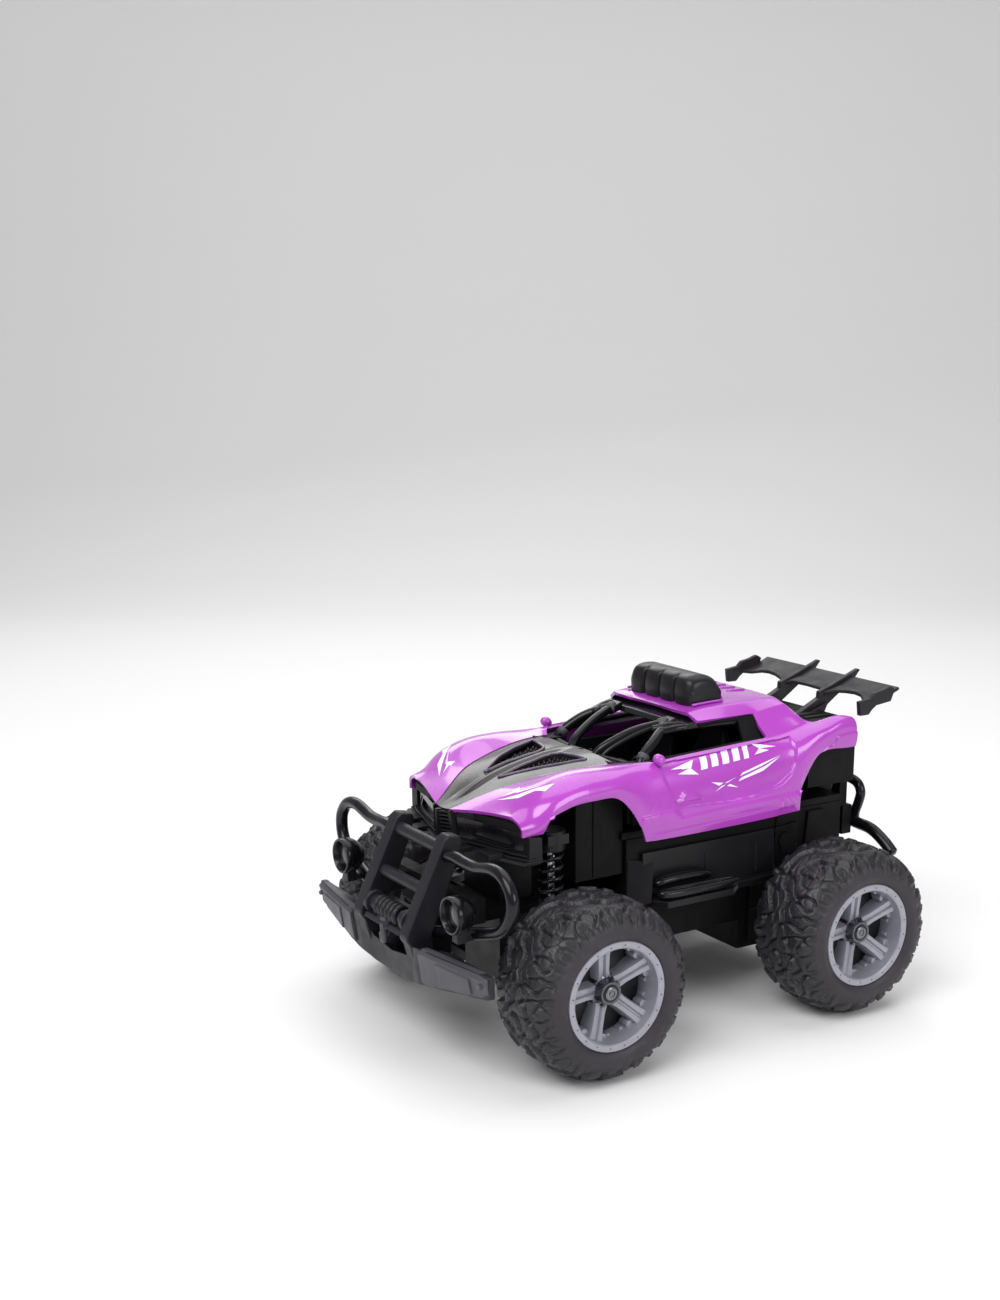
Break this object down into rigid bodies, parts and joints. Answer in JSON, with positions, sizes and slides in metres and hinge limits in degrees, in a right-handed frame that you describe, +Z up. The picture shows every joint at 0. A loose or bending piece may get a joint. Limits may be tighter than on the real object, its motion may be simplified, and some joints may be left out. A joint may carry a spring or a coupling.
{
  "type": "remote control car",
  "caption": "Radio-controlled off-road toy car: open-window body, roll cage, tall tyres, sprung steered front wheels, geared rear axle and battery bay.",
  "frame": {"origin": "on the ground, midway across and along the whole car", "axes": "+Y to the rear, +X to the car's left, +Z up"},
  "size_m": [0.16, 0.218, 0.128],
  "materials": {
    "body_purple": "gloss moulded plastic",
    "gunmetal": "gloss metallic dark grey plastic",
    "gloss_black": "gloss",
    "satin_black": "satin",
    "matte_black": "matte moulded texture",
    "dark_grey": "matte",
    "rubber": "matte rubber",
    "rim_grey": "satin grey plastic",
    "steel": "satin steel",
    "brass": "sintered bronze",
    "white_nylon": "nylon",
    "red_plastic": "gloss",
    "circuit_green": "solder mask",
    "cell_blue": "printed sleeve"
  },
  "bodies": {
    "chassis": {"body_shell": "body_purple", "hood_panel": "gunmetal", "grille": "satin_black", "roll_cage": "gloss_black", "cockpit_tub": "matte_black", "roof_lamp_pod": "satin_black", "rear_wing": "matte_black", "chassis_tub": "matte_black", "chassis_cover": "matte_black", "front_suspension_frame": "satin_black", "kingpin_l": "steel", "kingpin_r": "steel", "spring_l": "satin_black", "spring_r": "satin_black", "steering_servo": "dark_grey", "drive_motor": "steel", "idler_pin": "steel", "axle_bush_l": "brass", "axle_bush_r": "brass", "gearbox_case": "matte_black", "gearbox_cover": "matte_black", "receiver_board": "circuit_green", "front_bumper": "satin_black", "bumper_lamp_l": "gloss_black", "bumper_lamp_r": "gloss_black", "skid_plate": "dark_grey", "winch": "dark_grey", "rear_bumper": "satin_black", "side_step_l": "satin_black", "side_step_r": "satin_black", "battery_1": "cell_blue", "battery_2": "cell_blue", "battery_3": "cell_blue", "battery_4": "cell_blue"},
    "susp_l": {"slider_bush_l": "white_nylon"},
    "susp_r": {"slider_bush_r": "white_nylon"},
    "steer_l": {"knuckle_l": "satin_black", "hub_screw_fl": "steel"},
    "steer_r": {"knuckle_r": "satin_black", "hub_screw_fr": "steel"},
    "wheel_fl": {"rim_fl": "rim_grey", "tyre_fl": "rubber"},
    "wheel_fr": {"rim_fr": "rim_grey", "tyre_fr": "rubber"},
    "rear_wheels": {"rear_axle": "steel", "axle_gear": "white_nylon", "rim_rl": "rim_grey", "rim_rr": "rim_grey", "tyre_rl": "rubber", "tyre_rr": "rubber", "hub_screw_rl": "steel", "hub_screw_rr": "steel"},
    "idler": {"idler_gear": "white_nylon"},
    "pinion": {"motor_pinion": "brass"},
    "tie_rod": {"tie_rod": "satin_black"},
    "servo_lever": {"steering_lever": "white_nylon"},
    "door": {"battery_door": "matte_black", "door_screw": "steel"},
    "switch": {"power_switch": "red_plastic"}
  },
  "joints": [
    {"name": "front_bounce_l", "type": "slide", "parent": "chassis", "child": "susp_l", "axis": [0, 0, 1], "range_m": [-0.002, 0.002], "stiffness_N_per_m": 1000, "springref_m": -0.0015, "deforming": ["spring_l"]},
    {"name": "front_bounce_r", "type": "slide", "parent": "chassis", "child": "susp_r", "axis": [0, 0, 1], "range_m": [-0.002, 0.002], "stiffness_N_per_m": 1000, "springref_m": -0.0015, "deforming": ["spring_r"]},
    {"name": "steer_left", "type": "hinge", "parent": "susp_l", "child": "steer_l", "pos_m": [0.036, -0.058, 0.033], "axis": [0, 0, 1], "range_deg": [-14, 14]},
    {"name": "steer_right", "type": "hinge", "parent": "susp_r", "child": "steer_r", "pos_m": [-0.036, -0.058, 0.033], "axis": [0, 0, 1], "range_deg": [-14, 14]},
    {"name": "front_wheel_spin_l", "type": "hinge", "parent": "steer_l", "child": "wheel_fl", "pos_m": [0.062, -0.058, 0.033], "axis": [1, 0, 0], "continuous": true},
    {"name": "front_wheel_spin_r", "type": "hinge", "parent": "steer_r", "child": "wheel_fr", "pos_m": [-0.062, -0.058, 0.033], "axis": [1, 0, 0], "continuous": true},
    {"name": "tie_rod_slide", "type": "slide", "parent": "chassis", "child": "tie_rod", "axis": [1, 0, 0], "range_m": [-0.0032, 0.0032]},
    {"name": "servo_lever_turn", "type": "hinge", "parent": "chassis", "child": "servo_lever", "pos_m": [0, -0.0375, 0.042], "axis": [0, 0, 1], "range_deg": [-22.5, 22.5]},
    {"name": "rear_axle_spin", "type": "hinge", "parent": "chassis", "child": "rear_wheels", "pos_m": [0, 0.058, 0.033], "axis": [1, 0, 0], "continuous": true},
    {"name": "idler_spin", "type": "hinge", "parent": "chassis", "child": "idler", "pos_m": [-0.01, 0.04726, 0.03857], "axis": [1, 0, 0], "continuous": true},
    {"name": "pinion_spin", "type": "hinge", "parent": "chassis", "child": "pinion", "pos_m": [-0.008, 0.0465, 0.029], "axis": [1, 0, 0], "continuous": true},
    {"name": "battery_door_hinge", "type": "hinge", "parent": "chassis", "child": "door", "pos_m": [0, -0.0322, 0.0302], "axis": [-1, 0, 0], "range_deg": [0, 95]},
    {"name": "power_switch_slide", "type": "slide", "parent": "chassis", "child": "switch", "axis": [1, 0, 0], "range_m": [-0.004, 0]}
  ],
  "couplings": [
    {"joint": "steer_right", "follows": "steer_left", "ratio": 1},
    {"joint": "tie_rod_slide", "follows": "steer_left", "m_per_rad": -0.01243},
    {"joint": "servo_lever_turn", "follows": "steer_left", "ratio": -1.58},
    {"joint": "idler_spin", "follows": "rear_axle_spin", "ratio": -3},
    {"joint": "pinion_spin", "follows": "rear_axle_spin", "ratio": 8.4}
  ]
}
